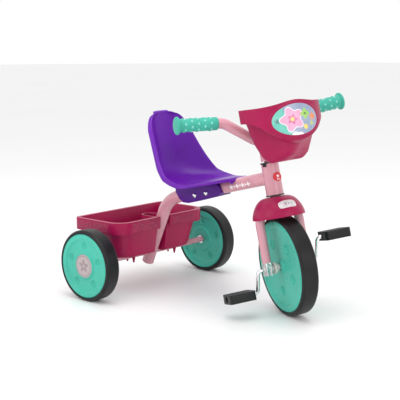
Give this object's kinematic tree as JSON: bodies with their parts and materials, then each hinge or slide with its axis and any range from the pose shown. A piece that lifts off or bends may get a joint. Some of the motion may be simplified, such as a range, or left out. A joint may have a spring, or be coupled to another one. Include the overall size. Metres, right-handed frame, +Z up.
{
  "type": "children tricycle",
  "caption": "Children's tricycle with bent tube frame, bucket seat, steered front wheel with cranks and pedals, handlebar, front basket and rear tub.",
  "frame": {"origin": "on the floor under the middle of the whole tricycle", "axes": "+X forward along the frame, +Y to the rider's left, +Z up; the front assembly rests turned to the rider's right"},
  "size_m": [0.6972, 0.481, 0.5248],
  "materials": {
    "pink_paint": "smooth gloss paint, light pink",
    "crank_chrome": "bright plated steel",
    "bright_steel": "bright zinc plate",
    "teal_plastic": "moulded teal, soft gloss",
    "teal_grip": "soft moulded teal with small bumps",
    "berry_plastic": "moulded raspberry, gloss",
    "violet_plastic": "moulded violet, soft gloss",
    "black_tyre": "smooth black hard foam, soft sheen",
    "black_plastic": "black moulded",
    "cap_print": "pale printed disc",
    "white_plastic": "natural nylon",
    "red_badge": "red printed disc",
    "deep_pink_print": "printed film",
    "picture_print": "printed label",
    "pink_plastic": "pink moulded plug"
  },
  "bodies": {
    "frame": {"main_tube": "pink_paint", "head_tube": "pink_paint", "rear_cross_tube": "pink_paint", "main_tube_cap": "pink_plastic", "rear_axle": "bright_steel", "axle_push_nuts": "bright_steel", "axle_washers": "bright_steel", "lower_head_bush": "black_plastic", "upper_head_bush": "black_plastic", "head_badge": "red_badge", "tube_decal": "deep_pink_print", "seat_shell": "violet_plastic", "seat_bracket": "violet_plastic", "seat_bolts": "crank_chrome", "seat_nuts": "bright_steel", "rear_basket": "berry_plastic"},
    "steering": {"fork": "pink_paint", "steerer": "pink_paint", "front_fender": "berry_plastic", "fender_badge": "white_plastic", "fork_bracket_right": "bright_steel", "fork_bracket_left": "bright_steel", "bracket_screws": "bright_steel", "axle_bush_right": "white_plastic", "axle_bush_left": "white_plastic", "stem_sleeve": "pink_paint", "handlebar": "pink_paint", "stem_bolt": "black_plastic", "grip_right": "teal_grip", "grip_left": "teal_grip", "front_basket": "berry_plastic", "basket_picture": "picture_print", "front_basket_screws": "bright_steel", "basket_spacers": "black_plastic"},
    "front_wheel": {"front_rim": "teal_plastic", "front_tyre": "black_tyre", "crank_axle": "crank_chrome", "hub_washers": "bright_steel", "pedal_nuts": "bright_steel"},
    "right_pedal": {"pedal_right": "black_plastic"},
    "left_pedal": {"pedal_left": "black_plastic"},
    "right_rear_wheel": {"rear_rim_right": "teal_plastic", "rear_tyre_right": "black_tyre", "rear_bush_right": "white_plastic", "hub_cap_right": "cap_print"},
    "left_rear_wheel": {"rear_rim_left": "teal_plastic", "rear_tyre_left": "black_tyre", "rear_bush_left": "white_plastic", "hub_cap_left": "cap_print"}
  },
  "joints": [
    {"name": "steering_turn", "type": "hinge", "parent": "frame", "child": "steering", "pos_m": [0.23342, 0, 0.12083], "axis": [-0.225, 0, 0.9744], "range_deg": [-19, 71]},
    {"name": "front_wheel_spin", "type": "hinge", "parent": "steering", "child": "front_wheel", "pos_m": [0.23342, 0, 0.12083], "axis": [0.4271, 0.8988, 0.0986], "continuous": true},
    {"name": "right_pedal_spin", "type": "hinge", "parent": "front_wheel", "child": "right_pedal", "pos_m": [0.17108, -0.10246, 0.05206], "axis": [0.4271, 0.8988, 0.0986], "continuous": true},
    {"name": "left_pedal_spin", "type": "hinge", "parent": "front_wheel", "child": "left_pedal", "pos_m": [0.29577, 0.10246, 0.1896], "axis": [0.4271, 0.8988, 0.0986], "continuous": true},
    {"name": "right_rear_wheel_spin", "type": "hinge", "parent": "frame", "child": "right_rear_wheel", "pos_m": [-0.22658, -0.22, 0.091], "axis": [0, 1, 0], "continuous": true},
    {"name": "left_rear_wheel_spin", "type": "hinge", "parent": "frame", "child": "left_rear_wheel", "pos_m": [-0.22658, 0.22, 0.091], "axis": [0, 1, 0], "continuous": true}
  ]
}
